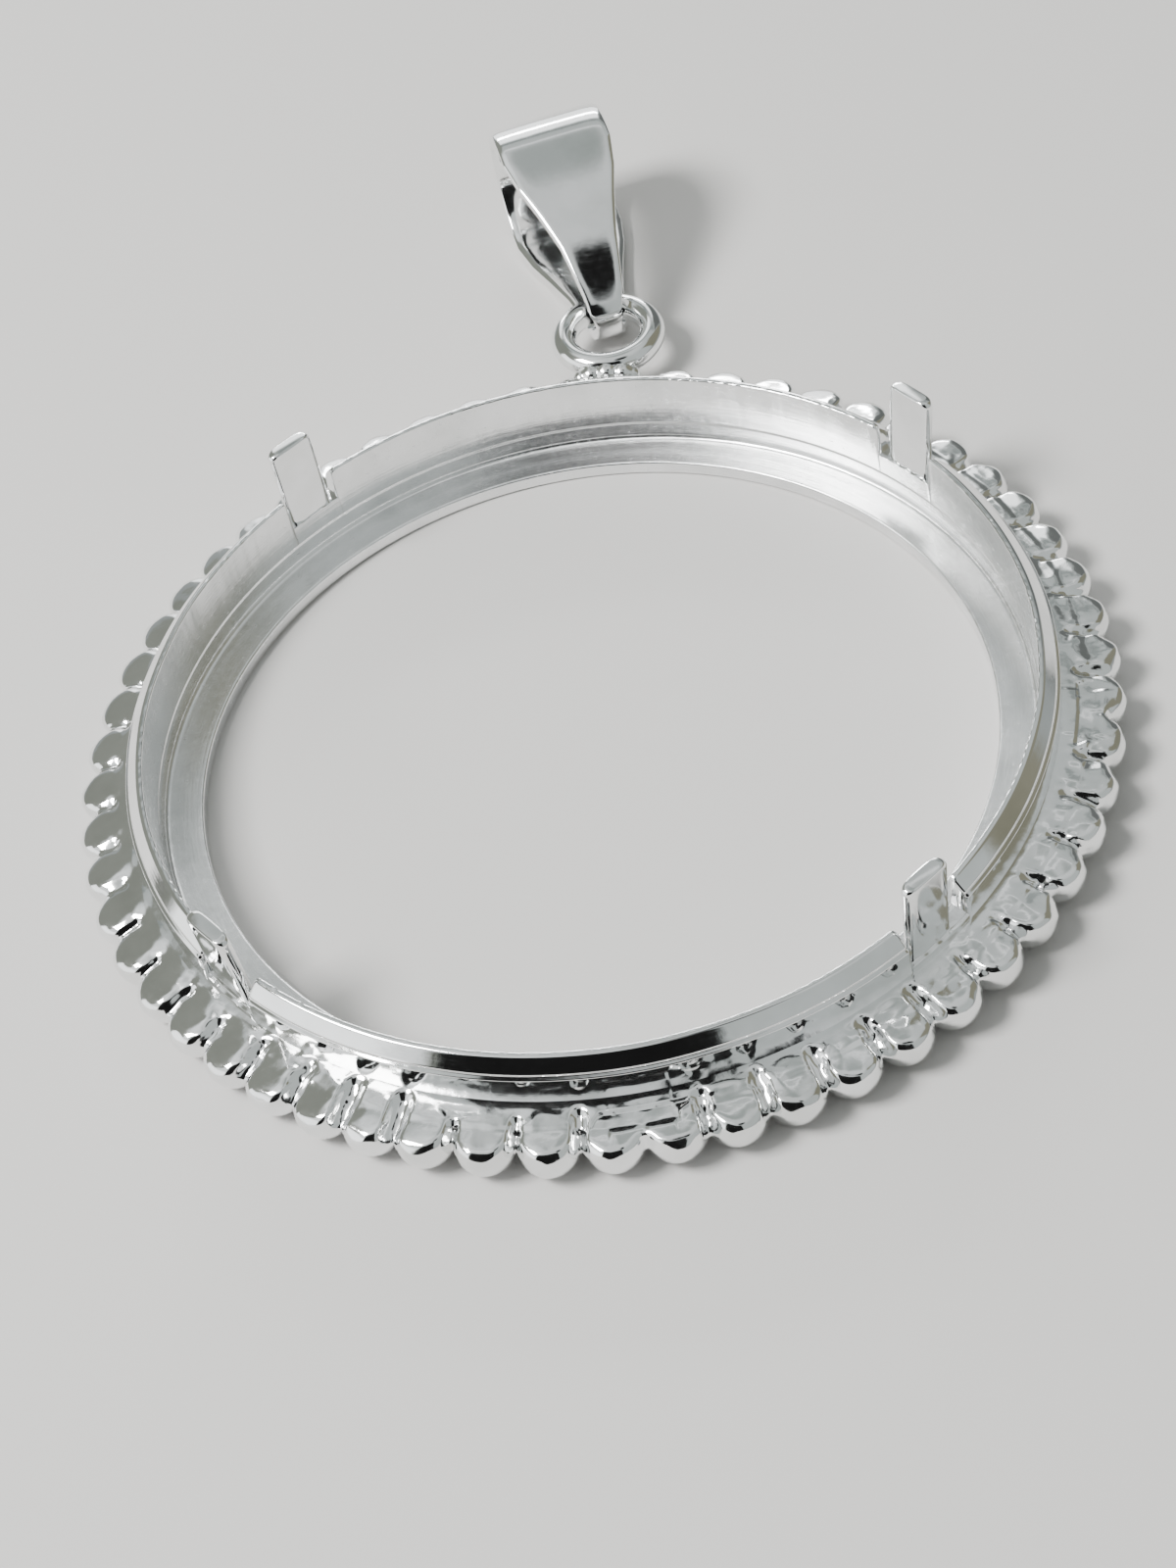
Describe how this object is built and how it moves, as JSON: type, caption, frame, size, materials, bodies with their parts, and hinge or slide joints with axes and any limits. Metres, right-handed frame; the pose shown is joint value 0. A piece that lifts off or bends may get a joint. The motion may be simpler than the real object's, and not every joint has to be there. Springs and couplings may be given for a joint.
{
  "type": "coin bezel pendant",
  "caption": "Round silver pendant frame with a beaded rim, a ledge and upright fold-over tabs that hold a coin, and a folded bail on a fixed loop.",
  "frame": {"origin": "on the frame's axis at the face of the ledge the coin lies on", "axes": "+Z out of the open seat, +Y towards the loop and the bail"},
  "size_m": [0.0454, 0.0621, 0.0072],
  "materials": {
    "silver": "polished"
  },
  "bodies": {
    "bezel": {"bezel_frame": "silver"},
    "bail": {"bail": "silver"}
  },
  "joints": [
    {"name": "bail_hinge", "type": "hinge", "parent": "bezel", "child": "bail", "pos_m": [-0.00026, 0.02762, 0.0011], "axis": [0.9925, 0.1219, 0], "range_deg": [-130, 101]}
  ]
}
